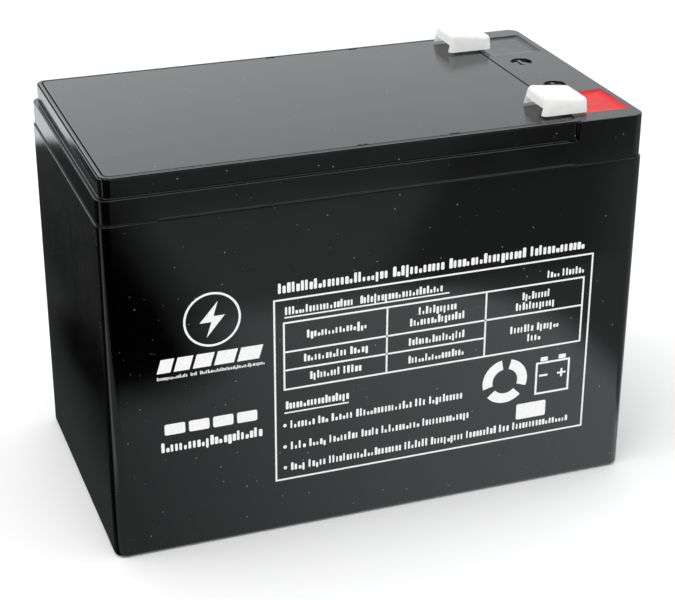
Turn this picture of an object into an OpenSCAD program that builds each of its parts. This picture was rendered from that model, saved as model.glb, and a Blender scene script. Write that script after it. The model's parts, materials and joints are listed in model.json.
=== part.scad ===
// Sealed lead-acid motorcycle battery, 12 V, six cells in two rows of three.
// Millimetres. The origin is at the centre of the base, +X points to the
// terminal end, -Y is the large printed face and +Z is up.

/* [Case] */
// Length of the case, along X
case_l = 151; // [149:0.5:155]
// Width of the case, along Y
case_w = 84; // [83:0.5:88]
// Height of the container, up to the glued seam
container_h = 96.4; // [94:0.2:102]
// Radius of the upright corners
corner_r = 3.2; // [2.6:0.1:4]
// Radius along the bottom edge
foot_r = 1; // [0.5:0.1:1.5]
// Thickness of the outer walls
wall = 2.4; // [2.2:0.1:2.6]
// Thickness of the floor
floor_t = 2.6; // [2.2:0.1:3]
// Thickness of the walls between the cells
partition_t = 1.6; // [1.4:0.1:1.8]

/* [Lid] */
// Thickness of the glue in the seam
glue_t = 0.4; // [0.3:0.05:0.6]
// Height of the lid's lower band
band_h = 6.4; // [6:0.1:7]
// Height of the raised tier above the band
tier_h = 5.4; // [5:0.1:6]
// How far the raised tier stands in from the case sides
tier_inset = 1.6; // [1.4:0.1:1.8]
// How far the lid's own sides stand in from the container
lid_inset = 0.35; // [0.2:0.05:0.5]
// Where the full-width terminal block starts, along X
block_x = 55.6; // [54.5:0.1:56]
// Width of the rim round the top cover
rim = 1.2; // [1:0.1:1.4]
// Thickness of the top cover
cover_t = 2; // [1.6:0.1:2.2]
// Gap round the top cover
cover_gap = 0.3; // [0.2:0.05:0.4]

/* [Terminals] */
// Width of the connection blade
blade_w = 6.35; // [6.2:0.05:6.5]
// Thickness of the connection blade
blade_t = 0.8; // [0.7:0.05:0.9]
// Height of the blade's top above the lid
blade_rise = 3; // [2.8:0.1:3.2]
// Distance from the middle of the battery to a blade's centre line
blade_y = 30; // [29.5:0.1:30.5]
// Radius of a terminal post
post_r = 3; // [2.8:0.1:3.2]
// Depth of the pocket round a terminal
pocket_d = 4.6; // [4.4:0.1:4.8]
// How far the sealing resin stays below the lid's top
seal_drop = 0.5; // [0.4:0.1:0.8]

/* [Protective caps] */
// Length of a protective cap
cap_l = 13.8; // [13.6:0.1:14]
// Width of a protective cap at its open underside
cap_w = 13.2; // [13:0.1:13.6]
// Height of a protective cap at its high end
cap_h = 5.2; // [5:0.1:5.6]
// Wall of a protective cap
cap_t = 0.85; // [0.7:0.05:0.9]

/* [Plates] */
// Thickness of a positive plate
positive_t = 3; // [2.8:0.1:3]
// Thickness of a negative plate
negative_t = 2.1; // [2:0.1:2.2]
// Thickness of a glass-mat separator
separator_t = 1.8; // [1.6:0.1:1.8]
// Height of the plates without their lugs
plate_h = 76; // [70:1:78]

/* [Hidden] */
$fn = 48;
eps = 0.02;

// heights
seam_z = container_h + glue_t;
ledge_z = seam_z + band_h;
top_z = ledge_z + tier_h;

// cells: two rows of three, numbered along the series chain from the
// positive terminal
cell_l = (case_l - 2 * wall - 2 * partition_t) / 3;
cell_w = (case_w - 2 * wall - partition_t) / 2;
pitch_x = cell_l + partition_t;
pitch_y = cell_w + partition_t;
cell_col = [1, 0, -1, -1, 0, 1];
cell_row = [-1, -1, -1, 1, 1, 1];
function cell_x(n) = cell_col[n - 1] * pitch_x;
function cell_y(n) = cell_row[n - 1] * pitch_y / 2;
// side of the cell, along X, where the positive lugs stand
function plus_side(n) = n <= 3 ? 1 : -1;

// plate stack
gap_above_floor = 2;
rib_x = 12;
rib_t = 2.4;
negatives = 5;
positives = 4;
stack_pitch = negative_t + positive_t + 2 * separator_t;
stack_w = (negatives - 1) * stack_pitch + negative_t;
plate_l = cell_l - 3;
separator_l = cell_l - 1.2;
plate_z = floor_t + gap_above_floor;
lug_x = 14.5;
lug_w = 9;
lug_h = 5;
strap_w = 10;
strap_t = 4.5;
strap_z = plate_z + plate_h + lug_h - 2.5;
strap_top = strap_z + strap_t;
flag_t = 2.6;
flag_w = 10;
flag_top = container_h - 0.4;
weld_r = 4;
weld_z = strap_z + 5.5;

// lid
lid_l = case_l - 2 * lid_inset;
lid_w = case_w - 2 * lid_inset;
tier_l = block_x + case_l / 2 - tier_inset;
tier_w = case_w - 2 * tier_inset;
tier_r = corner_r - 0.6;
cover_x0 = -case_l / 2 + tier_inset + rim;
cover_x1 = block_x;
cover_w = tier_w - 2 * rim;
cover_r = 2;
cover_z = top_z - cover_t;
cover_ledge = 1.6;
lid_floor_z = seam_z + 2;
lid_floor_t = 2.2;
tray_z = lid_floor_z + lid_floor_t;
roof_t = 2.6;
step_r = 1.1;

// vents
chimney_r = 3.3;
chimney_bore_r = 1.5;
chimney_h = 3.6;
valve_r = 4.2;
valve_h = 3.8;
valve_lift = 0.5;
valve_z = tray_z + 1;
valve_fit = 0.03;

// terminal pockets
pocket_x0 = block_x + 1.4;
pocket_x1 = case_l / 2 - 2.4;
pocket_in = 18.7;
pocket_out = 35.5;
pocket_z = top_z - pocket_d;
post_x = 65;
post_y = 29;
post_fit = 0.04;
blade_x0 = 50.1;
blade_z = top_z + blade_rise - blade_t;
riser_x = 57.2;
foot_w = 9;

// polarity marks: raised bars in round hollows
mark_x = 63;
mark_y = 11;
mark_r = 3.1;
mark_depth = 0.55;
bar_l = 4.4;
bar_w = 0.95;
bar_h = 0.35;

// protective caps
cap_x0 = 46.7;
negative_cap_slip = -1.3;
cap_z = top_z + 0.6;
cap_round = 1.5;
cap_lean = 0.8;
cap_flare = 0.7;
cap_fall = 1.2;
cap_lip = 3.1;
cap_skirt = 1.3;
cap_tail_drop = 0.8;

CELLS = [1 : 6];

// ---------------------------------------------------------------- helpers

// A rectangle with round corners, centred on the origin
module round_rect(l, w, r) {
    square([l - 2 * r, w], center = true);
    square([l, w - 2 * r], center = true);
    for (sx = [-1, 1], sy = [-1, 1])
        translate([sx * (l / 2 - r), sy * (w / 2 - r)])
            circle(r);
}

// An upright block with round corners, from z0 to z1
module round_block(l, w, r, z0, z1) {
    translate([0, 0, z0])
        linear_extrude(z1 - z0)
            round_rect(l, w, r);
}

// A box given by its lowest and highest corners
module span(lo, hi) {
    translate(lo)
        cube(hi - lo);
}

// The six cell openings, as upright boxes
module cell_boxes(z0, z1) {
    for (n = CELLS)
        translate([cell_x(n), cell_y(n), (z0 + z1) / 2])
            cube([cell_l, cell_w, z1 - z0], center = true);
}

// Children at the positive place, or mirrored to the negative one
module at_terminal(side) {
    if (side < 0)
        children();
    else
        mirror([0, 1, 0])
            children();
}

// ---------------------------------------------------------------- case

module container() {
    color([0.07, 0.07, 0.075])
    difference() {
        union() {
            difference() {
                hull() {
                    round_block(case_l, case_w, corner_r, foot_r, container_h);
                    round_block(case_l - foot_r * 0.6, case_w - foot_r * 0.6, corner_r - foot_r * 0.3,
                        foot_r * 0.3, foot_r);
                    round_block(case_l - foot_r * 2, case_w - foot_r * 2, corner_r - foot_r, 0, foot_r);
                }
                cell_boxes(floor_t, container_h + 1);
            }
            for (n = CELLS, s = [-1, 1])
                translate([cell_x(n) + s * rib_x, cell_y(n), floor_t + gap_above_floor / 2 - 0.1])
                    cube([rib_t, cell_w + 0.2, gap_above_floor + 0.2], center = true);
        }
        for (n = [1, 2, 4, 5])
            translate([(cell_x(n) + cell_x(n + 1)) / 2, cell_y(n), weld_z])
                rotate([0, 90, 0])
                    cylinder(r = weld_r, h = partition_t + 1, center = true);
        translate([cell_x(3) - lug_x, 0, weld_z])
            rotate([90, 0, 0])
                cylinder(r = weld_r, h = partition_t + 1, center = true);
    }
}

module lid_sealant() {
    bead_r = 0.35;
    bead_x0 = -60;
    bead_x1 = 54;
    lid_face = -lid_w / 2;
    color([0.10, 0.10, 0.11]) {
        difference() {
            round_block(lid_l, lid_w, corner_r, container_h, seam_z);
            cell_boxes(container_h - 1, seam_z + 1);
        }
        difference() {
            translate([bead_x0, lid_face, container_h + bead_r])
                rotate([0, 90, 0])
                    cylinder(r = bead_r, h = bead_x1 - bead_x0);
            span([bead_x0 - 1, lid_face, container_h - 1], [bead_x1 + 1, lid_face + 2, seam_z + 2]);
        }
    }
}

// Round hollow with a raised plus or minus on its floor
module polarity_mark(side) {
    root = 1;
    translate([mark_x, side * mark_y, top_z - mark_depth])
        difference() {
            cylinder(r = mark_r, h = 1);
            translate([0, 0, (bar_h - root) / 2])
                cube([bar_w, bar_l, bar_h + root], center = true);
            if (side < 0)
                translate([0, 0, (bar_h - root) / 2])
                    cube([bar_l, bar_w, bar_h + root], center = true);
        }
}

// Concave fillet where the tier runs into the terminal block
module step_fillet(side) {
    translate([block_x, side * tier_w / 2, ledge_z])
        scale([1, side, 1])
            linear_extrude(tier_h)
                difference() {
                    translate([-step_r, -eps])
                        square([step_r + eps, step_r + eps]);
                    translate([-step_r, step_r])
                        circle(step_r);
                }
}

module lid_body() {
    round_block(lid_l, lid_w, corner_r, seam_z, ledge_z);
    translate([block_x - tier_l / 2, 0, 0])
        translate([cover_ledge, 0, 0])
            round_block(tier_l + 2 * cover_ledge, tier_w, tier_r, ledge_z - eps, top_z);
    intersection() {
        round_block(lid_l, lid_w, corner_r, ledge_z - eps, top_z);
        span([block_x, -case_w, seam_z], [case_l, case_w, top_z + 1]);
    }
    for (side = [-1, 1])
        step_fillet(side);
}

// Space under the lid: shallow over every cell, deep in the terminal block
module lid_underside() {
    block_in = cover_x1 + cover_ledge;
    cell_edge = cell_x(1) + cell_l / 2;
    web_t = 1.8;
    sleeve_t = 2.4;
    lap = 0.2;
    cell_boxes(seam_z - 1, lid_floor_z);
    for (side = [-1, 1])
        at_terminal(side) {
            span([block_in, -pocket_in + web_t, seam_z], [cell_edge, -partition_t / 2, top_z - roof_t]);
            difference() {
                span([block_in, -pocket_out, seam_z], [cell_edge, -pocket_in + web_t + lap, pocket_z - web_t]);
                translate([post_x, -post_y, seam_z - 1])
                    cylinder(r = post_r + sleeve_t, h = top_z - seam_z);
            }
        }
}

module lid() {
    tray_x0 = cover_x0 + cover_ledge;
    tray_x1 = cover_x1 - cover_ledge;
    tray_w = cover_w - 2 * cover_ledge;
    tray_r = 1.2;
    pillar_r = 2;
    color([0.09, 0.09, 0.095])
    difference() {
        union() {
            difference() {
                lid_body();
                translate([(cover_x0 + cover_x1) / 2, 0, 0])
                    round_block(cover_x1 - cover_x0, cover_w, cover_r, cover_z, top_z + 1);
                translate([(tray_x0 + tray_x1) / 2, 0, 0])
                    round_block(tray_x1 - tray_x0, tray_w, tray_r, tray_z, top_z);
                lid_underside();
                for (side = [-1, 1])
                    at_terminal(side)
                        span([pocket_x0, -pocket_out, pocket_z], [pocket_x1, -pocket_in, top_z + 1]);
            }
            for (n = CELLS)
                translate([cell_x(n), cell_y(n), lid_floor_z])
                    cylinder(r = chimney_r, h = lid_floor_t + chimney_h);
            for (x = [-1.5, -0.5, 0.5] * pitch_x, y = [-0.5, 0, 0.5] * pitch_y)
                if (x > tray_x0)
                    translate([x, y, tray_z - 0.5])
                        cylinder(r = pillar_r, h = cover_z - tray_z + 0.5);
        }
        for (n = CELLS)
            translate([cell_x(n), cell_y(n), lid_floor_z - 1])
                cylinder(r = chimney_bore_r, h = lid_floor_t + chimney_h + 2);
        for (side = [-1, 1]) {
            at_terminal(side)
                translate([post_x, -post_y, seam_z - 1])
                    cylinder(r = post_r + post_fit, h = pocket_z - seam_z + 2);
            polarity_mark(side);
        }
    }
}

module top_cover() {
    pad_r = 3.5;
    pad_h = cover_z - (valve_z + valve_h + valve_lift) - 0.05;
    pry_l = 2.4;
    pry_d = 0.6;
    pry_x = [-5, 20.7];
    color([0.10, 0.10, 0.105])
    difference() {
        union() {
            translate([(cover_x0 + cover_x1) / 2, 0, 0])
                round_block(cover_x1 - cover_x0 - 2 * cover_gap, cover_w - 2 * cover_gap,
                    cover_r - cover_gap, cover_z, top_z);
            for (n = CELLS)
                translate([cell_x(n), cell_y(n), cover_z - pad_h])
                    cylinder(r = pad_r, h = pad_h + 0.5);
        }
        for (side = [-1, 1], x = pry_x)
            translate([x, side * (cover_w / 2 - cover_gap), top_z])
                cube([pry_l, 2 * pry_d, cover_t], center = true);
    }
}

// ---------------------------------------------------------------- cells

// One plate of a cell, its lug on the given side of the cell
module plate(n, y0, t, side) {
    z_top = plate_z + plate_h;
    span([cell_x(n) - plate_l / 2, y0, plate_z], [cell_x(n) + plate_l / 2, y0 + t, z_top]);
    translate([cell_x(n) + side * lug_x, y0 + t / 2, z_top + lug_h / 2 - 0.5])
        cube([lug_w, t, lug_h + 1], center = true);
}

function stack_y0(n) = cell_y(n) - stack_w / 2;

module positive_plates(n) {
    color([0.38, 0.22, 0.15])
    for (k = [0 : positives - 1])
        plate(n, stack_y0(n) + k * stack_pitch + negative_t + separator_t, positive_t, plus_side(n));
}

module negative_plates(n) {
    color([0.45, 0.46, 0.48])
    for (k = [0 : negatives - 1])
        plate(n, stack_y0(n) + k * stack_pitch, negative_t, -plus_side(n));
}

module separators(n) {
    above = 1.5;
    color([0.93, 0.93, 0.90])
    for (k = [0 : positives - 1], y = [negative_t, negative_t + separator_t + positive_t])
        translate([cell_x(n) - separator_l / 2, stack_y0(n) + k * stack_pitch + y, plate_z])
            cube([separator_l, separator_t, plate_h + above]);
}

// Foot and upright flag that carry a strap's current to the next cell
module flag_on_x(n, side) {
    edge = cell_l / 2;
    translate([cell_x(n), cell_y(n), 0])
        scale([side, 1, 1]) {
            span([lug_x, -flag_w / 2, strap_z], [edge, flag_w / 2, strap_top]);
            span([edge - flag_t, -flag_w / 2, strap_z], [edge, flag_w / 2, flag_top]);
        }
}

module flag_on_y(n, side) {
    row = cell_row[n - 1];
    translate([cell_x(n) + side * lug_x, 0, 0])
        scale([1, row, 1]) {
            span([-flag_w / 2, partition_t / 2, strap_z],
                [flag_w / 2, partition_t / 2 + flag_t + 2, strap_top]);
            span([-flag_w / 2, partition_t / 2, strap_z], [flag_w / 2, partition_t / 2 + flag_t, flag_top]);
        }
}

// Bar cast across the lugs of one polarity
module strap_bar(n, side, first_y, last_y) {
    translate([cell_x(n) + side * lug_x, (first_y + last_y) / 2, (strap_z + strap_top) / 2])
        cube([strap_w, last_y - first_y, strap_t], center = true);
}

module positive_strap(n) {
    y0 = stack_y0(n) + negative_t + separator_t;
    y1 = y0 + (positives - 1) * stack_pitch + positive_t;
    side = plus_side(n);
    color([0.55, 0.56, 0.58])
    difference() {
        union() {
            strap_bar(n, side, n == 4 ? partition_t / 2 + 1 : y0 - 1, y1 + 1);
            if (n == 4)
                flag_on_y(n, side);
            else if (n > 1)
                flag_on_x(n, side);
        }
        positive_plates(n);
    }
}

module negative_strap(n) {
    y0 = stack_y0(n);
    y1 = y0 + stack_w;
    side = -plus_side(n);
    color([0.55, 0.56, 0.58])
    difference() {
        union() {
            strap_bar(n, side, y0, n == 3 ? -partition_t / 2 - 1 : y1);
            if (n == 3)
                flag_on_y(n, side);
            else if (n < 6)
                flag_on_x(n, side);
        }
        negative_plates(n);
    }
}

// Weld nugget through the wall between cell n and cell n + 1
module cell_connector(n) {
    fit = 0.05;
    color([0.60, 0.61, 0.63])
    if (n == 3)
        translate([cell_x(3) - lug_x, 0, weld_z])
            rotate([90, 0, 0])
                cylinder(r = weld_r - fit, h = partition_t, center = true);
    else
        translate([(cell_x(n) + cell_x(n + 1)) / 2, cell_y(n), weld_z])
            rotate([0, 90, 0])
                cylinder(r = weld_r - fit, h = partition_t, center = true);
}

module vent_valve(n) {
    color([0.12, 0.12, 0.12])
    translate([cell_x(n), cell_y(n), valve_z])
        difference() {
            cylinder(r = valve_r, h = valve_h);
            translate([0, 0, -1])
                cylinder(r = chimney_r + valve_fit, h = 1 + tray_z + chimney_h - valve_z);
        }
}

// ---------------------------------------------------------------- terminals

module post(side) {
    color([0.58, 0.59, 0.61])
    at_terminal(side)
        translate([post_x, -post_y, strap_top])
            cylinder(r = post_r, h = pocket_z + 1 + blade_t - strap_top);
}

// Bent blade: foot round the post, riser and flat connection blade
module tab_body() {
    foot_z = pocket_z + 1;
    tip = 0.8;
    hole_r = 0.9;
    hole_in = 3.2;
    difference() {
        union() {
            translate([post_x, -post_y, foot_z])
                translate([-foot_w / 2, -foot_w / 2, 0])
                    cube([foot_w, foot_w, blade_t]);
            span([riser_x, -blade_y - blade_w / 2, foot_z], [post_x, -blade_y + blade_w / 2, foot_z + blade_t]);
            span([riser_x, -blade_y - blade_w / 2, foot_z],
                [riser_x + blade_t, -blade_y + blade_w / 2, blade_z + blade_t]);
            translate([0, -blade_y, blade_z])
                linear_extrude(blade_t)
                    polygon([
                        [riser_x + blade_t, -blade_w / 2], [riser_x + blade_t, blade_w / 2],
                        [blade_x0 + tip, blade_w / 2], [blade_x0, blade_w / 2 - tip],
                        [blade_x0, -blade_w / 2 + tip], [blade_x0 + tip, -blade_w / 2]
                    ]);
        }
        translate([post_x, -post_y, foot_z - 1])
            cylinder(r = post_r + post_fit, h = 3);
        translate([blade_x0 + hole_in, -blade_y, blade_z - 1])
            cylinder(r = hole_r, h = 3);
    }
}

module tab(side) {
    color([0.80, 0.80, 0.78])
    at_terminal(side)
        tab_body();
}

// Resin poured round the post and the foot of the blade
module seal(side) {
    color(side < 0 ? [0.86, 0.13, 0.14] : [0.08, 0.08, 0.085])
    at_terminal(side)
        difference() {
            span([pocket_x0, -pocket_out, pocket_z], [pocket_x1, -pocket_in, top_z - seal_drop]);
            tab_body();
            translate([post_x, -post_y, pocket_z - 1])
                cylinder(r = post_r + post_fit, h = 2 + blade_t);
        }
}

// Hood of the cap, its outside for grow = 0 and its inside for grow < 0;
// the sides flare towards the open underside
module cap_form(grow) {
    z_high = cap_z + cap_h - cap_round;
    z_low = cap_z - cap_skirt;
    half_low = cap_w / 2 - cap_round;
    flare = cap_flare / (z_high - cap_z);
    x_tail = cap_x0 + cap_l - cap_round;
    corners = [
        [cap_x0 + cap_lean + cap_round, z_high],
        [x_tail, z_high - cap_fall],
        [x_tail, z_low - cap_tail_drop],
        [cap_x0 + cap_round, z_low]
    ];
    hull()
        for (side = [-1, 1], c = corners)
            translate([c[0], side * (half_low - (c[1] - cap_z) * flare), c[1]])
                sphere(cap_round + grow, $fn = 24);
}

// Open-bottomed hood whose end face stops short between the side skirts
module cap(side) {
    mouth = cap_w - 2 * cap_t - cap_flare;
    past = 5;
    color([0.93, 0.93, 0.93, 0.85])
    at_terminal(side)
        translate([side > 0 ? negative_cap_slip : 0, -blade_y, 0])
            difference() {
                cap_form(0);
                cap_form(-cap_t);
                span([cap_x0 - past, -cap_w, cap_z - past], [cap_x0 + cap_l + past, cap_w, cap_z]);
                span([cap_x0 - past, -mouth / 2, cap_z - past],
                    [cap_x0 + cap_round + 2, mouth / 2, cap_z + cap_h - cap_lip]);
            }
}

// ---------------------------------------------------------------- nodes

module positive_post() { post(-1); }
module negative_post() { post(1); }
module positive_tab() { tab(-1); }
module negative_tab() { tab(1); }
module positive_seal() { seal(-1); }
module negative_seal() { seal(1); }
module positive_cap() { cap(-1); }
module negative_cap() { cap(1); }

container();
lid();
lid_sealant();
top_cover();
for (n = CELLS) positive_plates(n);
for (n = CELLS) negative_plates(n);
for (n = CELLS) separators(n);
for (n = CELLS) positive_strap(n);
for (n = CELLS) negative_strap(n);
for (n = [1 : 5]) cell_connector(n);
for (n = CELLS) vent_valve(n);
positive_post();
negative_post();
positive_tab();
negative_tab();
positive_seal();
negative_seal();
positive_cap();
negative_cap();
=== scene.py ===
"""Looks of a sealed lead-acid motorcycle battery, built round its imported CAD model."""
import json
import math
import random

import bmesh
import bpy
from mathutils import Matrix, Vector, noise


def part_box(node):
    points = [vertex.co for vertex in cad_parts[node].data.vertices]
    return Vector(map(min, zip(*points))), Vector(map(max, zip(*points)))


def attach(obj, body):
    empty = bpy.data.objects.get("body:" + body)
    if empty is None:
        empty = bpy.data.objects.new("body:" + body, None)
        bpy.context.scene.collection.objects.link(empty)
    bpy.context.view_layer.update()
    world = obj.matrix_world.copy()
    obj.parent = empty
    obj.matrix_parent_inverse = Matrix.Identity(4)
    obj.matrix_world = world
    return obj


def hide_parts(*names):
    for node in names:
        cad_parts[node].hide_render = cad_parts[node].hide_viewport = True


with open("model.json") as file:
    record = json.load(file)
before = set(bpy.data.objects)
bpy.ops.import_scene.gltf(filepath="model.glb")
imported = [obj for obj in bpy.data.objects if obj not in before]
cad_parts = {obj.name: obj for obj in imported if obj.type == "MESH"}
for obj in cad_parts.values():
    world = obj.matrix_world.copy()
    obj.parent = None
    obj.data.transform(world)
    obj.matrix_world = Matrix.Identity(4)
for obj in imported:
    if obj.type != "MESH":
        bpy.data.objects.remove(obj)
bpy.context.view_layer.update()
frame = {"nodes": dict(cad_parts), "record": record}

MM = 0.001
nodes = frame["nodes"]
draw = random.Random(7)
body_of = {n: body for body, names in frame["record"]["behaviour"]["bodies"].items() for n in names}


# ---------------------------------------------------------------- materials


class Graph:
    """A material's node graph, with short calls for the nodes used here.

    The sockets of Mix nodes go by number, because several share one name.
    """

    def __init__(self, name):
        self.material = bpy.data.materials.new(name)
        self.material.use_nodes = True
        self.tree = self.material.node_tree
        self.shader = self.tree.nodes["Principled BSDF"]
        self.place = self.node("ShaderNodeTexCoord").outputs["Object"]

    def node(self, kind, **values):
        made = self.tree.nodes.new(kind)
        for name, value in values.items():
            setattr(made, name, value)
        return made

    def link(self, source, target):
        if isinstance(source, (int, float, tuple)):
            target.default_value = source
        else:
            self.tree.links.new(source, target)

    def set(self, **values):
        """Constant values on the shader's own sockets."""
        for name, value in values.items():
            self.shader.inputs[name.replace("_", " ")].default_value = value

    def stretched(self, scale=(1, 1, 1), turn=(0, 0, 0)):
        mapping = self.node("ShaderNodeMapping")
        self.link(self.place, mapping.inputs["Vector"])
        mapping.inputs["Scale"].default_value = scale
        mapping.inputs["Rotation"].default_value = turn
        return mapping.outputs["Vector"]

    def noise(self, size_mm, detail=3.0, roughness=0.5, stretch=(1, 1, 1), turn=(0, 0, 0)):
        made = self.node("ShaderNodeTexNoise")
        self.link(self.stretched(stretch, turn), made.inputs["Vector"])
        made.inputs["Scale"].default_value = 1 / (size_mm * MM)
        made.inputs["Detail"].default_value = detail
        made.inputs["Roughness"].default_value = roughness
        return made.outputs["Fac"]

    def specks(self, cell_mm, radius_mm, share):
        """1 on round specks, one in some of the cells, and 0 elsewhere."""
        cells = self.node("ShaderNodeTexVoronoi")
        self.link(self.stretched(), cells.inputs["Vector"])
        cells.inputs["Scale"].default_value = 1 / (cell_mm * MM)
        near = self.math("LESS_THAN", cells.outputs["Distance"], radius_mm / cell_mm)
        kept = self.math("LESS_THAN", self.channel(cells.outputs["Color"], "Red"), share)
        return self.times(near, kept)

    def channel(self, colour, which):
        made = self.node("ShaderNodeSeparateColor")
        self.link(colour, made.inputs["Color"])
        return made.outputs[which]

    def math(self, operation, first, second=0.0):
        made = self.node("ShaderNodeMath", operation=operation)
        self.link(first, made.inputs[0])
        self.link(second, made.inputs[1])
        return made.outputs["Value"]

    def plus(self, *terms):
        total = terms[0]
        for term in terms[1:]:
            total = self.math("ADD", total, term)
        return total

    def times(self, *factors):
        product = factors[0]
        for factor in factors[1:]:
            product = self.math("MULTIPLY", product, factor)
        return product

    def spread(self, source, low, high, to_low=0.0, to_high=1.0):
        """Remaps low..high to to_low..to_high, clamped."""
        made = self.node("ShaderNodeMapRange")
        self.link(source, made.inputs["Value"])
        made.inputs["From Min"].default_value = low
        made.inputs["From Max"].default_value = high
        made.inputs["To Min"].default_value = to_low
        made.inputs["To Max"].default_value = to_high
        return made.outputs["Result"]

    def past(self, value, edge, soft=10):
        """0 before an edge given in millimetres and 1 past it, softly."""
        return self.spread(value, (edge - soft / 2) * MM, (edge + soft / 2) * MM)

    def until(self, value, edge, soft=10):
        """1 before an edge given in millimetres and 0 past it, softly."""
        return self.fade(self.past(value, edge, soft), 1.0, 0.0)

    def beyond(self, first, second, radius, soft=10):
        """1 where two positive distances together reach past a rounded corner."""
        squares = [
            self.math("POWER", self.math("MAXIMUM", distance, 0.0), 2.0)
            for distance in (first, second)
        ]
        return self.past(self.math("SQRT", self.plus(*squares)), radius, soft)

    def fade(self, factor, first, second):
        """A plain number: first where the factor is 0, second where it is 1."""
        made = self.node("ShaderNodeMix", data_type="FLOAT")
        self.link(factor, made.inputs[0])
        self.link(first, made.inputs[2])
        self.link(second, made.inputs[3])
        return made.outputs[0]

    def position(self):
        """Metres along X, Y and Z as three sockets."""
        split = self.node("ShaderNodeSeparateXYZ")
        self.link(self.place, split.inputs["Vector"])
        return split.outputs["X"], split.outputs["Y"], split.outputs["Z"]

    def mix(self, factor, first, second):
        made = self.node("ShaderNodeMix", data_type="RGBA")
        self.link(factor, made.inputs[0])
        self.link(first, made.inputs[6])
        self.link(second, made.inputs[7])
        return made.outputs[2]

    def bump(self, height, depth_mm, normal=None):
        made = self.node("ShaderNodeBump")
        made.inputs["Distance"].default_value = depth_mm * MM
        self.link(height, made.inputs["Height"])
        if normal is not None:
            self.link(normal, made.inputs["Normal"])
        return made.outputs["Normal"]

    def finish(self, colour, roughness, normal):
        self.link(colour, self.shader.inputs["Base Color"])
        self.link(roughness, self.shader.inputs["Roughness"])
        self.link(normal, self.shader.inputs["Normal"])
        return self.material


def grey(value, blue=0.0):
    """A grey, or one that is bluer by a share."""
    return (value, value, value * (1 + blue), 1.0)


def moulded_black(name, base, shine, haze, dust):
    """Injection-moulded glossy black plastic with haze, hairlines and dust.

    shine is the lowest roughness, haze is what the smears add to it, and dust is
    the share of the cells that hold a speck.
    """
    g = Graph(name)
    smear = g.noise(22, 4, 0.6, stretch=(1, 1, 0.45))
    fine = g.noise(1.4, 3, 0.5)
    hairs = g.noise(0.35, 1, 0.5, stretch=(0.03, 1, 1), turn=(0.4, 0.3, 0.5))
    hairline = g.spread(hairs, 0.71, 0.76)
    speck = g.math("MAXIMUM", g.specks(3.7, 0.2, dust), g.specks(2.5, 0.1, dust))
    grain = end_dust(g)
    roughness = g.plus(
        g.spread(smear, 0.35, 0.7, shine, shine + haze),
        g.spread(fine, 0.3, 0.7, 0.0, 0.02),
        g.times(hairline, 0.12),
        g.times(grain, 0.15),
    )
    colour = g.mix(g.spread(smear, 0.4, 0.75), grey(base, 0.1), grey(base * 1.5, 0.06))
    colour = g.mix(g.times(speck, 0.5), colour, grey(0.32))
    colour = g.mix(grain, colour, grey(0.11))
    normal = g.bump(g.noise(12, 2, 0.4), 0.02)
    normal = g.bump(fine, 0.0025, normal)
    normal = g.bump(speck, 0.03, normal)
    g.set(IOR=1.52)
    return g.finish(colour, roughness, normal)


def end_dust(g):
    """Dust that clings to the upper half of the left end, as haze and fine grains."""
    x, y, z = g.position()
    on_end = g.math("LESS_THAN", x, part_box("container")[0].x + 0.2 * MM)
    upper = g.spread(g.plus(z, g.times(y, 0.3)), 35 * MM, 75 * MM, 0.12, 1.0)
    cloud = g.spread(g.noise(9, 3, 0.6), 0.3, 0.65, 0.35, 1.0)
    haze = g.spread(g.noise(0.6, 2, 0.7), 0.4, 0.7, 0.0, 0.35)
    grains = g.math("MAXIMUM", haze, g.specks(1.4, 0.22, 0.6))
    return g.times(on_end, upper, cloud, grains)


def ink():
    """White silk-screen ink, a little thin and uneven."""
    g = Graph("label_ink")
    thin = g.noise(0.5, 3, 0.6)
    colour = g.mix(g.spread(thin, 0.35, 0.6), grey(0.78), grey(0.9))
    g.set(IOR=1.45)
    return g.finish(colour, g.spread(thin, 0.3, 0.7, 0.35, 0.5), g.bump(thin, 0.01))


def milky_cap():
    """Soft translucent polyethylene, with a faint painted glow that stands for light let through
    and painted bluish shade near its foot.
    """
    g = Graph("cap_plastic")
    cloud = g.noise(2.2, 3, 0.5)
    colour = g.mix(g.spread(cloud, 0.35, 0.65), (0.68, 0.68, 0.672, 1), (0.74, 0.74, 0.73, 1))
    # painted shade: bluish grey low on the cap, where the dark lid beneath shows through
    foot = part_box("positive_cap")[0].z
    painted_foot_shade = g.spread(g.position()[2], foot + 0.3 * MM, foot + 2.6 * MM, 0.6, 0.0)
    colour = g.mix(painted_foot_shade, colour, (0.62, 0.67, 0.7, 1))
    g.set(IOR=1.3, Transmission_Weight=0.35, Subsurface_Weight=0.5, Subsurface_Scale=0.0012)
    # painted glow: emission that stands for light let through the cap
    g.set(Emission_Color=(1.0, 0.99, 0.96, 1), Emission_Strength=0.17)
    g.set(Sheen_Weight=0.1, Sheen_Roughness=0.35, Subsurface_Radius=(1.0, 1.0, 1.0))
    roughness = g.spread(g.noise(6, 3), 0.3, 0.7, 0.38, 0.5)
    normal = g.bump(g.noise(1.6, 2), 0.008)
    return g.finish(colour, roughness, normal)


def resin(name, dark, light, shine, ior):
    """Poured epoxy: glossy, with a slow swirl and a few pinholes."""
    g = Graph(name)
    swirl = g.noise(4.5, 3, 0.55)
    pinhole = g.specks(1.9, 0.07, 0.2)
    colour = g.mix(g.spread(swirl, 0.3, 0.7), dark, light)
    roughness = g.spread(g.noise(3, 2), 0.3, 0.7, shine, shine + 0.06)
    normal = g.bump(g.noise(7, 2), 0.05)
    normal = g.bump(g.math("SUBTRACT", 1.0, pinhole), 0.03, normal)
    g.set(IOR=ior)
    return g.finish(colour, roughness, normal)


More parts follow.
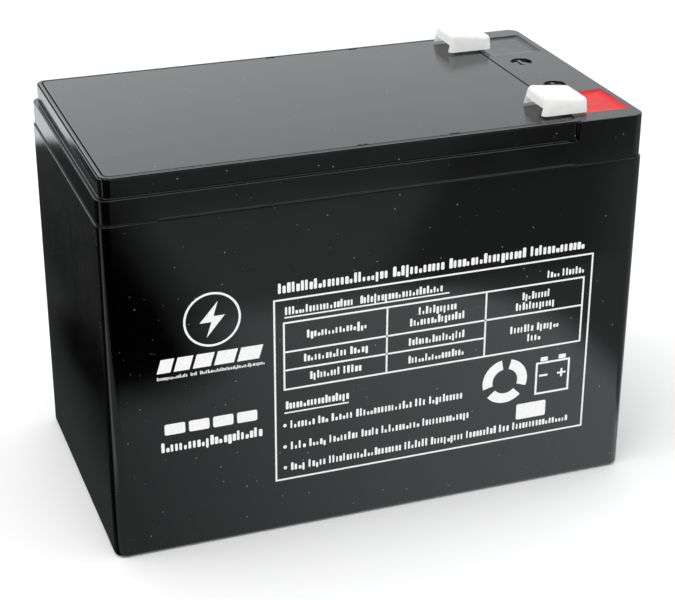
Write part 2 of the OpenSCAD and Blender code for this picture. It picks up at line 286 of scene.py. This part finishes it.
def seam_glue():
    g = Graph("seam_glue")
    lump = g.noise(1.1, 3, 0.6)
    colour = g.mix(g.spread(lump, 0.3, 0.7), grey(0.004, 0.1), grey(0.012, 0.1))
    return g.finish(colour, g.spread(lump, 0.3, 0.7, 0.35, 0.6), g.bump(lump, 0.05))


def tinned():
    g = Graph("tinned_brass")
    lines = g.noise(0.25, 2, 0.5, stretch=(0.06, 1, 1))
    stain = g.noise(2.5, 3, 0.6)
    colour = g.mix(g.spread(stain, 0.4, 0.7), (0.74, 0.74, 0.71, 1), (0.6, 0.59, 0.55, 1))
    g.set(Metallic=1.0)
    return g.finish(colour, g.spread(lines, 0.3, 0.7, 0.22, 0.4), g.bump(lines, 0.004))


def cast_lead():
    g = Graph("lead")
    bloom = g.noise(3, 4, 0.65)
    grain = g.noise(0.5, 3, 0.6)
    colour = g.mix(g.spread(bloom, 0.35, 0.65), (0.3, 0.31, 0.33, 1), (0.46, 0.47, 0.5, 1))
    g.set(Metallic=0.85)
    return g.finish(colour, g.spread(bloom, 0.3, 0.7, 0.42, 0.62), g.bump(grain, 0.05))


def paste(name, dark, light):
    """Cured paste in a cast grid, whose bars show through every few millimetres."""
    g = Graph(name)
    crumbs = g.noise(0.7, 4, 0.65)
    colour = g.mix(g.spread(crumbs, 0.3, 0.7), dark, light)
    bars = []
    for axis, pitch in (("X", 7.0), ("Z", 4.5)):
        wave = g.node("ShaderNodeTexWave", bands_direction=axis)
        g.link(g.place, wave.inputs["Vector"])
        wave.inputs["Scale"].default_value = math.pi / (10 * pitch * MM)
        bars.append(g.spread(wave.outputs["Fac"], 0.86, 0.98))
    bar = g.math("MAXIMUM", bars[0], bars[1])
    colour = g.mix(g.times(bar, 0.35), colour, (0.34, 0.35, 0.37, 1))
    normal = g.bump(crumbs, 0.12)
    normal = g.bump(bar, 0.2, normal)
    return g.finish(colour, g.spread(crumbs, 0.3, 0.7, 0.7, 0.95), normal)


def glass_mat():
    g = Graph("glass_mat")
    fibres = g.noise(0.4, 4, 0.7, stretch=(0.2, 1, 1), turn=(0.2, 0.9, 0.1))
    across = g.noise(0.4, 4, 0.7, stretch=(1, 1, 0.2), turn=(0.5, 0.3, 0.2))
    felt = g.plus(fibres, across)
    colour = g.mix(g.spread(felt, 0.7, 1.3), (0.72, 0.72, 0.7, 1), (0.9, 0.9, 0.87, 1))
    g.set(Sheen_Weight=0.3)
    return g.finish(colour, g.spread(felt, 0.7, 1.3, 0.75, 0.95), g.bump(felt, 0.08))


def valve_rubber():
    g = Graph("valve_rubber")
    powder = g.noise(1.2, 4, 0.6)
    colour = g.mix(g.spread(powder, 0.4, 0.75), grey(0.018), grey(0.07))
    return g.finish(colour, g.spread(powder, 0.3, 0.7, 0.5, 0.72), g.bump(powder, 0.02))


MATERIALS = {
    "case_plastic": moulded_black("case_plastic", 0.0004, 0.05, 0.05, 0.9),
    "lid_plastic": moulded_black("lid_plastic", 0.0008, 0.09, 0.06, 0.8),
    "cover_plastic": moulded_black("cover_plastic", 0.0012, 0.10, 0.07, 0.65),
    "label_ink": ink(),
    "cap_plastic": milky_cap(),
    "red_resin": resin("red_resin", (0.55, 0.004, 0.007, 1), (0.66, 0.008, 0.012, 1), 0.22, 1.2),
    "black_resin": resin("black_resin", grey(0.003, 0.1), grey(0.006, 0.1), 0.12, 1.5),
    "seam_glue": seam_glue(),
    "tinned_brass": tinned(),
    "lead": cast_lead(),
    "positive_paste": paste("positive_paste", (0.11, 0.045, 0.025, 1), (0.2, 0.1, 0.06, 1)),
    "negative_paste": paste("negative_paste", (0.2, 0.21, 0.23, 1), (0.32, 0.33, 0.35, 1)),
    "glass_mat": glass_mat(),
    "valve_rubber": valve_rubber(),
}


def give(piece, slot):
    """Puts the material of a slot on a piece, as its only material."""
    piece.data.materials.clear()
    piece.data.materials.append(MATERIALS[slot])


def dress_cad_nodes():
    slots = {part["node"]: part["material_slot"] for part in frame["record"]["subparts"]}
    for name, piece in nodes.items():
        give(piece, slots[name])


# ---------------------------------------------------------------- mesh helpers


def add_object(name, data):
    made = bpy.data.objects.new(name, data)
    bpy.context.scene.collection.objects.link(made)
    return made


def new_piece(name, mesh, slot, body="case"):
    """Makes a bmesh a piece that rides on a body, with a slot's finish."""
    data = bpy.data.meshes.new(name)
    mesh.to_mesh(data)
    mesh.free()
    piece = add_object(name, data)
    give(piece, slot)
    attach(piece, body)
    return piece


def clean_mesh(node):
    """A CAD node's mesh, welded, its flat faces whole again."""
    mesh = bmesh.new()
    mesh.from_mesh(nodes[node].data)
    bmesh.ops.remove_doubles(mesh, verts=mesh.verts, dist=0.003 * MM)
    bmesh.ops.dissolve_limit(
        mesh, angle_limit=math.radians(0.6), verts=mesh.verts, edges=mesh.edges)
    bmesh.ops.recalc_face_normals(mesh, faces=mesh.faces)
    return mesh


def walls(mesh, rings):
    """Joins each ring of points to the next; all have as many points."""
    for ring, following in zip(rings, rings[1:]):
        for i in range(len(ring)):
            j = (i + 1) % len(ring)
            mesh.faces.new((ring[i], ring[j], following[j], following[i]))


def skin(mesh, rings):
    """A closed form through rings of points, with flat ends."""
    walls(mesh, rings)
    mesh.faces.new(rings[-1])
    mesh.faces.new(list(reversed(rings[0])))


def rounded_shell(node, slot, width_of, sharp=28, clamp=False):
    """Stands for a CAD node, with its sharp edges rounded.

    An edge is sharp where its faces turn by more than sharp degrees. width_of(edge)
    gives its rounding in millimetres, or 0. It must not change between edges that
    run on from one another, or the rounding spikes. The edges' weights are their
    widths, for a bevel of 1 mm.
    """
    mesh = clean_mesh(node)
    layer = mesh.edges.layers.float.new("bevel_weight_edge")
    for edge in mesh.edges:
        if len(edge.link_faces) == 2 and edge.calc_face_angle() > math.radians(sharp):
            edge[layer] = width_of(edge)
            edge.smooth = edge[layer] > 0
    for face in mesh.faces:
        face.smooth = True
    shell = new_piece(node + "_shell", mesh, slot, body_of[node])
    bevel = shell.modifiers.new("bevel", "BEVEL")
    bevel.width = MM
    bevel.segments = 3
    bevel.limit_method = "WEIGHT"
    bevel.use_clamp_overlap = clamp
    bevel.miter_outer = "MITER_ARC"
    flat = shell.modifiers.new("flat_faces", "WEIGHTED_NORMAL")
    flat.mode = "FACE_AREA"
    flat.weight = 100
    flat.keep_sharp = True
    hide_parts(node)


# Sizes of the case and lid, in millimetres.
OUTER_X, OUTER_Y, SEAM_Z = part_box("container")[1] / MM
TOP_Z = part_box("lid")[1].z / MM
CORNER_R = 3.5   # radius of the case's upright corners
LEDGE_Z = 103.2  # where the lid's rim ends and its tier begins
BLOCK_X = 55.6   # where the tier ends and the terminal block begins
OUTSIDE = 0.8    # an edge nearer the case's outline than this is on its outside
TIER_IN = 2.2    # an edge further in than this is inside the tier's own outline


def edge_spot(edge):
    """Where the middle of an edge is, in millimetres.

    Gives its x, how far inside the case's rounded outline it is, and its z.
    """
    middle = (edge.verts[0].co + edge.verts[1].co) / 2 / MM
    to_end, to_side = OUTER_X - abs(middle.x), OUTER_Y - abs(middle.y)
    inset = min(to_end, to_side)
    if max(to_end, to_side) < CORNER_R:
        inset = CORNER_R - math.hypot(CORNER_R - to_end, CORNER_R - to_side)
    return middle.x, inset, middle.z


def container_edges(edge):
    """Rounding of the foot and of the outside of the seam."""
    _, inset, z = edge_spot(edge)
    if z < 1.3:
        return 0.3
    if z > SEAM_Z - 0.2 and inset < OUTSIDE:
        return 0.25
    return 0


def lid_edges(edge):
    """Rounding, from the inside outwards and from the seam up."""
    x, inset, z = edge_spot(edge)
    if inset > TIER_IN:
        return 0.12 if z > TOP_Z - 0.7 else 0
    if z < SEAM_Z + 0.6:
        return 0.2 if inset < OUTSIDE else 0
    if z < LEDGE_Z + 0.1:
        return 0.25
    if z < TOP_Z - 0.1:
        return 0.12
    return 0.7 if x < BLOCK_X + 0.05 else 0.3


def cover_edges(edge):
    """Rounding of the upper face's outline only."""
    _, _, z = edge_spot(edge)
    return 0 if z < TOP_Z - 0.1 else 0.25


def make_shells():
    rounded_shell("container", "case_plastic", container_edges)
    rounded_shell("lid", "lid_plastic", lid_edges)
    rounded_shell("top_cover", "cover_plastic", cover_edges)
    for cap in ("positive_cap", "negative_cap"):
        rounded_shell(cap, "cap_plastic", lambda edge: 0.25, sharp=45, clamp=True)
    for tab in ("positive_tab", "negative_tab"):
        rounded_shell(tab, "tinned_brass", lambda edge: 0.08)
    resin_pad("positive_seal", "red_resin")
    resin_pad("negative_seal", "black_resin")


# ---------------------------------------------------------------- resin pads


def rounded_rectangle(x0, y0, x1, y1, radius):
    """Points of a rectangle whose corners are arcs of four points each."""
    points = []
    corners = (
        (x1 - radius, y1 - radius, 0), (x0 + radius, y1 - radius, 90),
        (x0 + radius, y0 + radius, 180), (x1 - radius, y0 + radius, 270),
    )
    for cx, cy, start in corners:
        for step in range(4):
            angle = math.radians(start + 30 * step)
            points.append((cx + radius * math.cos(angle), cy + radius * math.sin(angle)))
    return points


def resin_pad(node, slot):
    """Poured pad whose skin creeps up the pocket's walls in a curve.

    The curve starts a little below the lid's top and levels out at its reach
    from the walls.
    """
    low, high = (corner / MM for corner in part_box(node))
    reach, corner_r, below_top = 2.4, 0.5, 0.06
    climb = TOP_Z - below_top - high.z
    levels = [(0.0, low.z)]
    for inset in (0.0, 0.15, 0.35, 0.65, 1.05, 1.6, reach):
        levels.append((inset, high.z + climb * (1 - inset / reach) ** 3))
    mesh = bmesh.new()
    rings = []
    for inset, z in levels:
        points = rounded_rectangle(
            low.x + inset, low.y + inset, high.x - inset, high.y - inset,
            max(corner_r - inset, 0.05))
        rings.append([mesh.verts.new((x * MM, y * MM, z * MM)) for x, y in points])
    skin(mesh, rings)
    bmesh.ops.recalc_face_normals(mesh, faces=mesh.faces)
    for face in mesh.faces:
        face.smooth = face.normal.z > 0.3
    pad = new_piece(node + "_skin", mesh, slot, body_of[node])
    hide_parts(node)


# ---------------------------------------------------------------- printed face

FACE_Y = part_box("container")[0].y
INK_T = 0.04 * MM
INK_BACK, INK_FRONT = FACE_Y + INK_T / 4, FACE_Y - INK_T
FULL_TURN = [360 * i / 52 for i in range(52)]  # angles in degrees


def round_points(centre, radius, degrees):
    """Points round a centre, at angles in degrees."""
    turns = [math.radians(angle) for angle in degrees]
    return [(centre[0] + radius * math.cos(a), centre[1] + radius * math.sin(a)) for a in turns]


class Print:
    """Flat closed shapes of ink on the front face, gathered in one mesh.

    Places are in millimetres on the face: x along it, z up it.
    """

    def __init__(self):
        self.mesh = bmesh.new()

    def ring(self, points, y):
        """Vertices at points of the face, at one depth."""
        return [self.mesh.verts.new((x * MM, y, z * MM)) for x, z in points]

    def outline(self, points):
        """A slab of ink inside an outline, its back sunk a little into the face."""
        skin(self.mesh, [self.ring(points, INK_BACK), self.ring(points, INK_FRONT)])

    def block(self, x0, z0, x1, z1, radius):
        """A rectangle of ink with round corners."""
        radius = min(radius, (x1 - x0) / 2.01, (z1 - z0) / 2.01)
        self.outline(rounded_rectangle(x0, z0, x1, z1, radius))

    def frame(self, x0, z0, x1, z1, width):
        """Four lines of a width along the sides of a rectangle."""
        half = width / 2
        self.block(x0 - half, z1 - half, x1 + half, z1 + half, 0.05)
        self.block(x0 - half, z0 - half, x1 + half, z0 + half, 0.05)
        self.block(x0 - half, z0 + half, x0 + half, z1 - half, 0.01)
        self.block(x1 - half, z0 + half, x1 + half, z1 - half, 0.01)

    def arc(self, centre, radius, width, start, end):
        """Part of a ring, its ends cut square, between two angles in degrees."""
        steps = round((end - start) / 7)
        angles = [start + (end - start) * i / steps for i in range(steps + 1)]
        outer = round_points(centre, radius + width / 2, angles)
        inner = round_points(centre, radius - width / 2, angles)
        self.outline(outer + inner[::-1])

    def circle(self, centre, radius, width):
        """A whole ring."""
        outer, inner = (
            round_points(centre, radius + side * width / 2, FULL_TURN) for side in (1, -1))
        rings = [
            self.ring(outer, INK_BACK), self.ring(outer, INK_FRONT),
            self.ring(inner, INK_FRONT), self.ring(inner, INK_BACK),
        ]
        walls(self.mesh, [*rings, rings[0]])

    def words(self, x, z, cap, widths, gap=1.05, weight=0.56):
        """A row of plain upright strokes, as wide and as dense as words would be.

        cap is the height of a tall stroke, widths and gap are those of the words,
        and weight is the share of each stroke's pitch that it fills.
        """
        low = 0.74 * cap
        for width in widths:
            count = max(2, round(width / (0.42 * cap)))
            pitch = (width + 0.15 * cap) / count
            for i in range(count):
                thick = pitch * (weight + draw.uniform(-0.12, 0.16))
                left = x + i * pitch + draw.uniform(0, 0.12) * pitch
                tall = cap if i == 0 or draw.random() < 0.16 else low * draw.choice((1, 1, 1, 0.6))
                base = z - (0.22 * cap if 0 < i and draw.random() < 0.06 else 0)
                self.block(left, base, left + thick, z + tall, 0.1 * cap)
            x += width + gap

    def piece(self, name):
        """Makes the shapes drawn so far one piece of ink.

        Outlines with a hollow side are cut up well only once their normals are known.
        """
        self.mesh.normal_update()
        bmesh.ops.triangulate(self.mesh, faces=[f for f in self.mesh.faces if len(f.verts) > 4])
        bmesh.ops.recalc_face_normals(self.mesh, faces=self.mesh.faces)
        new_piece(name, self.mesh, "label_ink")


def print_panel():
    """Frame and empty table: two rules down it, one across it and one part of the way."""
    p = Print()
    line, lap, corner_r = 0.5, 0.2, 0.01
    left, low, right, high = -27.8, 43.3, 59.5, 63.0
    p.frame(-30.4, 15.7, 61.8, 69.8, line)
    p.frame(left, low, right, high, line)
    first, second = 1.0, 29.9
    for x in (first, second):
        p.block(x, low + lap, x + line, high - lap, corner_r)
    for z, end in ((54.2, right - lap), (48.8, second + 0.1)):
        p.block(left + lap, z, end, z + line, corner_r)
    p.piece("label_frame")


def print_rows():
    """Rows of strokes in the places of the printed words, and two underlines."""
    p = Print()
    p.words(-29.3, 71.7, 2.9, (30.3, 14.7, 22.5, 16.2), gap=1.5, weight=0.66)
    p.words(-27.5, 65.3, 2.3, (18.9, 23.6), gap=2, weight=0.62)
    p.block(-27.6, 64.35, 19.1, 64.75, 0.05)
    p.words(48.2, 64.4, 2.2, (3.7, 6.6), gap=0.9)
    for x, z, widths in (
        (-21.5, 57.8, (16.8,)), (10.3, 59.3, (11,)), (7.8, 56.2, (15.9,)),
        (40.9, 58.8, (8.3,)), (39.1, 55.8, (11.7,)), (-22.4, 50.8, (12, 5.2)),
        (-20.6, 45.3, (8.3, 5.2)), (7.6, 50.4, (16.3,)), (7.6, 45.0, (16.3,)),
        (37.8, 48.9, (7, 6.7)), (43.1, 45.8, (4,)),
    ):
        p.words(x, z, 2.3, widths)
    p.words(-27.6, 37.3, 2.4, (17.9,), weight=0.64)
    p.block(-27.9, 36.0, -9.6, 36.4, 0.05)
    for z, widths in (
        (31.3, (6.9, 2.8, 6.1, 16.3, 3.1, 9.9)),
        (24.7, (4.3, 4.8, 8.3, 4.8, 11.2, 13.9)),
        (18.2, (4.1, 4.9, 21.2, 6.9, 9.7, 9.1, 3.2, 17.2)),
    ):
        p.outline(round_points((-27.8, z + 1.1), 0.5, FULL_TURN))
        p.words(-26.3, z, 2.4, widths, gap=1.02)
    p.piece("label_rows")


def print_marks():
    """Plain shapes in the places of the printed symbols: a ring, a cell, a block."""
    p = Print()
    for start in (100, 220, 340):
        p.arc((36.9, 34.4), 5.3, 3.0, start, start + 95)
    left, low, right, high = 46.6, 28.6, 56.6, 38.2
    line, arm, middle = 0.6, 1.3, 33.9
    p.frame(left, low, right, high, line)
    minus, plus = left + 2.2, right - 2.2
    for x in (minus, plus):
        p.block(x - 1.1, high + 0.5, x + 1.1, high + 1.8, 0.2)
        p.block(x - arm, middle, x + arm, middle + line, 0.05)
    for z in (middle - 1.0, middle + line):
        p.block(plus - line / 2, z, plus + line / 2, z + 1.0, 0.02)
    p.block(40.9, 21.3, 50.0, 26.2, 0.5)
    p.piece("label_marks")


def print_badge():
    """Plain badge, a ring with a bolt of lightning, and stripes and blocks below it."""
    p = Print()
    cx, cz = -47.1, 67.3
    p.circle((cx, cz), 7.4, 0.6)
    bolt = ((1.6, 5.0), (-3.4, -0.7), (-0.2, -0.7), (-1.6, -5.0), (3.4, 0.9), (0.35, 0.9))
    p.outline([(cx + dx, cz + dz) for dx, dz in bolt])
    left, low, high, lean, gap = -62.3, 54.0, 57.9, 1.2, 0.9
    start = left
    for i in range(5):
        stop = start + 3.6 + 0.6 * i
        p.outline([(stop + lean, high), (start + lean, high), (start, low), (stop, low)])
        start = stop + gap
    p.words(left, 52.0, 1.0, (8, 1.6, 17.5), gap=0.95, weight=0.6)
    for i in range(4):
        start = -60.9 + 6.6 * i
        p.block(start, 35.6, start + 5.6, 38.8, 0.5)
    p.words(-62.0, 30.5, 2.9, (27.5,), weight=0.66)
    p.piece("label_badge")


# ---------------------------------------------------------------- glue bead


def glue_bead():
    """Uneven bead of glue squeezed out along the front seam, thin towards its ends."""
    y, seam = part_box("lid")[0].y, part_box("container")[1].z
    start, end, step, sides = -62.0, 55.0, 0.6, 8

    def wave(x, waves_per_mm, seed):
        return noise.noise(Vector((x * waves_per_mm, seed, 0.0)))

    mesh = bmesh.new()
    rings = []
    count = round((end - start) / step)
    for i in range(count + 1):
        x = start + i * step
        along = i / count
        radius = 0.3 + 0.14 * wave(x, 0.16, 3.1) + 0.07 * wave(x, 0.9, 7.7)
        radius *= min(1.0, 8 * along, 8 * (1 - along)) + 0.02
        lift = 0.036 + 0.03 * wave(x, 0.35, 1.3)
        ring = []
        for k in range(sides):
            angle = 2 * math.pi * k / sides
            out = 0.75 * radius * math.sin(angle)
            up = radius * (1 + math.cos(angle)) + lift
            ring.append(mesh.verts.new((x * MM, y - out * MM, seam + up * MM)))
        rings.append(ring)
    skin(mesh, rings)
    bmesh.ops.recalc_face_normals(mesh, faces=mesh.faces)
    for face in mesh.faces:
        face.smooth = True
    bead = new_piece("glue_bead", mesh, "seam_glue")
    rounding = bead.modifiers.new("rounding", "SUBSURF")
    rounding.levels = 1
    rounding.render_levels = 1


# ---------------------------------------------------------------- stage


def plain_material(name, colour, roughness):
    """One matte colour, for what isn't part of the object."""
    material = bpy.data.materials.new(name)
    material.use_nodes = True
    shader = material.node_tree.nodes["Principled BSDF"]
    shader.inputs["Base Color"].default_value = colour
    shader.inputs["Roughness"].default_value = roughness
    shader.inputs["Specular IOR Level"].default_value = 0.2
    return material


def square(half, z):
    """Corners of a level square over the origin."""
    return [(sx * half, sy * half, z) for sx, sy in ((-1, -1), (1, -1), (1, 1), (-1, 1))]


def add_floor():
    mesh = bpy.data.meshes.new("floor")
    mesh.from_pydata(square(3.0, 0), [], [(0, 1, 2, 3)])
    mesh.materials.append(plain_material("floor_white", grey(0.86), 0.7))
    add_object("floor", mesh)


def add_light(name, place, target, size, power):
    data = bpy.data.lights.new(name, "AREA")
    data.shape = "RECTANGLE"
    data.size, data.size_y = size
    data.energy = power
    lamp = add_object(name, data)
    lamp.location = place
    lamp.rotation_euler = (Vector(target) - Vector(place)).to_track_quat("-Z", "Y").to_euler()


def glossy_card(name, points, faces, emission):
    """A card that only shows in reflections; emission(graph) gives its brightness."""
    mesh = bpy.data.meshes.new(name)
    mesh.from_pydata(points, [], faces)
    g = Graph(name + "_light")
    light = g.node("ShaderNodeEmission")
    light.inputs["Color"].default_value = (0.965, 1.0, 1.02, 1)
    g.link(emission(g), light.inputs["Strength"])
    output = g.tree.nodes["Material Output"]
    g.tree.links.new(light.outputs["Emission"], output.inputs["Surface"])
    g.tree.nodes.remove(g.shader)
    mesh.materials.append(g.material)
    card = add_object(name, mesh)
    card.visible_camera = False
    card.visible_diffuse = False
    card.visible_transmission = False
    card.visible_shadow = False


def front_glow(g, x, ahead):
    """Brightness of the table before the front face.

    A bright sheet lies near the battery and fades to the left. Outside it the
    table is dimmer, dimmest in a slanted gap, and far ahead at the left it is dark.
    A short bright strip lies before the left corner.
    """
    sheet = g.plus(
        g.spread(x, -65 * MM, 20 * MM, 0.48, 1.22), g.spread(x, 20 * MM, 95 * MM, 0.0, 0.35))
    past_sheet = g.beyond(
        g.math("SUBTRACT", x, 52 * MM), g.math("SUBTRACT", ahead, 125 * MM), 50, 14)
    gap = g.times(g.past(ahead, 176, 14), g.until(g.plus(x, g.times(ahead, -0.55)), 45, 16))
    shade = g.fade(gap, 0.45, 0.23)
    outside = g.fade(g.past(g.plus(x, g.times(ahead, -0.67)), -67, 16), 0.52, shade)
    front = g.fade(past_sheet, sheet, outside)
    clear_of_dark = g.beyond(
        g.plus(x, 47 * MM), g.math("SUBTRACT", 158 * MM, ahead), 30, 24)
    front = g.times(front, clear_of_dark, g.fade(g.past(ahead, 266, 12), 1.0, 0.6))
    strip = g.times(g.until(x, -110, 20), g.past(ahead, 52, 8), g.until(ahead, 76, 8))
    return g.fade(strip, front, 1.3)


def left_glow(g, left, y):
    """Brightness of the table beside the left end: dim, but for its far back.

    A darker band runs along the middle of the end's reflection.
    """
    side = g.plus(
        g.spread(left, 80 * MM, 91 * MM, 0.062, 0.014),
        g.spread(left, 98 * MM, 112 * MM, 0.0, 0.012),
        g.times(g.spread(y, 90 * MM, 125 * MM, 0.0, 0.03), g.until(left, 97, 6)),
    )
    past_band = g.beyond(
        g.math("ABSOLUTE", g.times(g.plus(left, -94.5 * MM), 6.0)),
        g.math("ABSOLUTE", g.plus(y, -80 * MM)), 34, 22)
    side = g.fade(past_band, 0.002, side)
    side = g.plus(side, g.spread(y, 190 * MM, 275 * MM, 0.0, 0.02))
    return g.fade(g.past(y, 285, 12), side, 1.3)


def floor_glow(g):
    """Brightness of the table round the battery, as its glossy sides mirror it.

    A face mirrors the table further out the higher the point on it is. Places
    are in millimetres from the middle of the battery's foot.
    """
    x, y, _ = g.position()
    ahead, left = g.times(y, -1.0), g.times(x, -1.0)
    rest = g.spread(g.math("MAXIMUM", x, y), 60 * MM, 280 * MM, 0.9, 0.3)
    glow = g.fade(g.past(left, OUTER_X - 1, 0.2), rest, left_glow(g, left, y))
    return g.fade(g.past(ahead, OUTER_Y, 0.2), glow, front_glow(g, x, ahead))


def wall_glow(g):
    """Brightness of the studio wall, with a window high at the back left.

    Places are in metres, but for those of the window, which are in millimetres.
    """
    x, y, z = g.position()
    level = g.times(
        g.spread(z, 0.3, 0.6, 1.52, 1.25),
        g.spread(x, 0.0, 0.55, 1.0, 0.74),
        g.spread(x, -0.24, -0.18, 0.3, 1.0),
        g.spread(z, 0.12, 0.26, 0.25, 1.0),
        g.spread(y, -0.3, 0.2, 0.4, 1.0),
    )
    window = g.times(
        g.past(z, 430, 80), g.until(x, -40, 80), g.past(y, 300, 100), g.past(x, -150, 50))
    return g.fade(window, level, 4.5)


def ceiling_glow(g):
    """Dim ceiling with a soft box over the front of the table."""
    x, y, _ = g.position()
    aside = g.math("ABSOLUTE", g.plus(x, -0.35))
    along = g.math("ABSOLUTE", g.plus(y, -0.1))
    past_box = g.math("MAXIMUM", g.past(aside, 420, 120), g.past(along, 220, 100))
    return g.fade(past_box, 7.0, 0.15)


def add_cards():
    """A table and a ceiling, and a round wall between them."""
    glossy_card("table_card", square(0.62, 0.0004), [(0, 1, 2, 3)], floor_glow)
    glossy_card("ceiling_card", square(0.95, 1.09), [(0, 1, 2, 3)], ceiling_glow)
    radius, tall, steps = 0.9, 1.1, 48
    ring = []
    for i in range(steps):
        angle = 2 * math.pi * i / steps
        for z in (0.0, tall):
            ring.append((radius * math.cos(angle), radius * math.sin(angle), z))
    faces = []
    for i in range(steps):
        a, b = 2 * i, 2 * ((i + 1) % steps)
        faces.append((a, b, b + 1, a + 1))
    glossy_card("wall_card", ring, faces, wall_glow)


def add_world():
    world = bpy.data.worlds.new("studio")
    bpy.context.scene.world = world
    world.use_nodes = True
    background = world.node_tree.nodes["Background"]
    background.inputs["Color"].default_value = (1, 1, 1, 1)
    background.inputs["Strength"].default_value = 1.0


def add_camera():
    """Camera at the photograph's angle, given as azimuth, elevation and roll."""
    azimuth, elevation, roll = (math.radians(a) for a in (-19.9, 25.45, 0.2))
    distance = 0.5089
    target = Vector((0.0023, 0, 0.04615))
    back = Vector((
        math.sin(azimuth) * math.cos(elevation),
        -math.cos(azimuth) * math.cos(elevation),
        math.sin(elevation),
    ))
    right = Vector((math.cos(azimuth), math.sin(azimuth), 0))
    up = back.cross(right)
    turn = Matrix((right, up, back)).transposed() @ Matrix.Rotation(roll, 3, "Z")
    data = bpy.data.cameras.new("camera")
    data.lens = 93.3
    data.sensor_width = 36
    data.clip_start = 0.01
    camera = add_object("camera", data)
    camera.matrix_world = Matrix.Translation(target + back * distance) @ turn.to_4x4()
    bpy.context.scene.camera = camera


# ---------------------------------------------------------------- the scene

add_camera()
add_world()
add_floor()
add_light("top_softbox", (-0.3, -0.1, 1.1), (0, 0, 0.05), (0.8, 0.8), 6)
add_cards()

dress_cad_nodes()
make_shells()

print_panel()
print_rows()
print_marks()
print_badge()
glue_bead()

bpy.context.scene.view_settings.view_transform = "Standard"
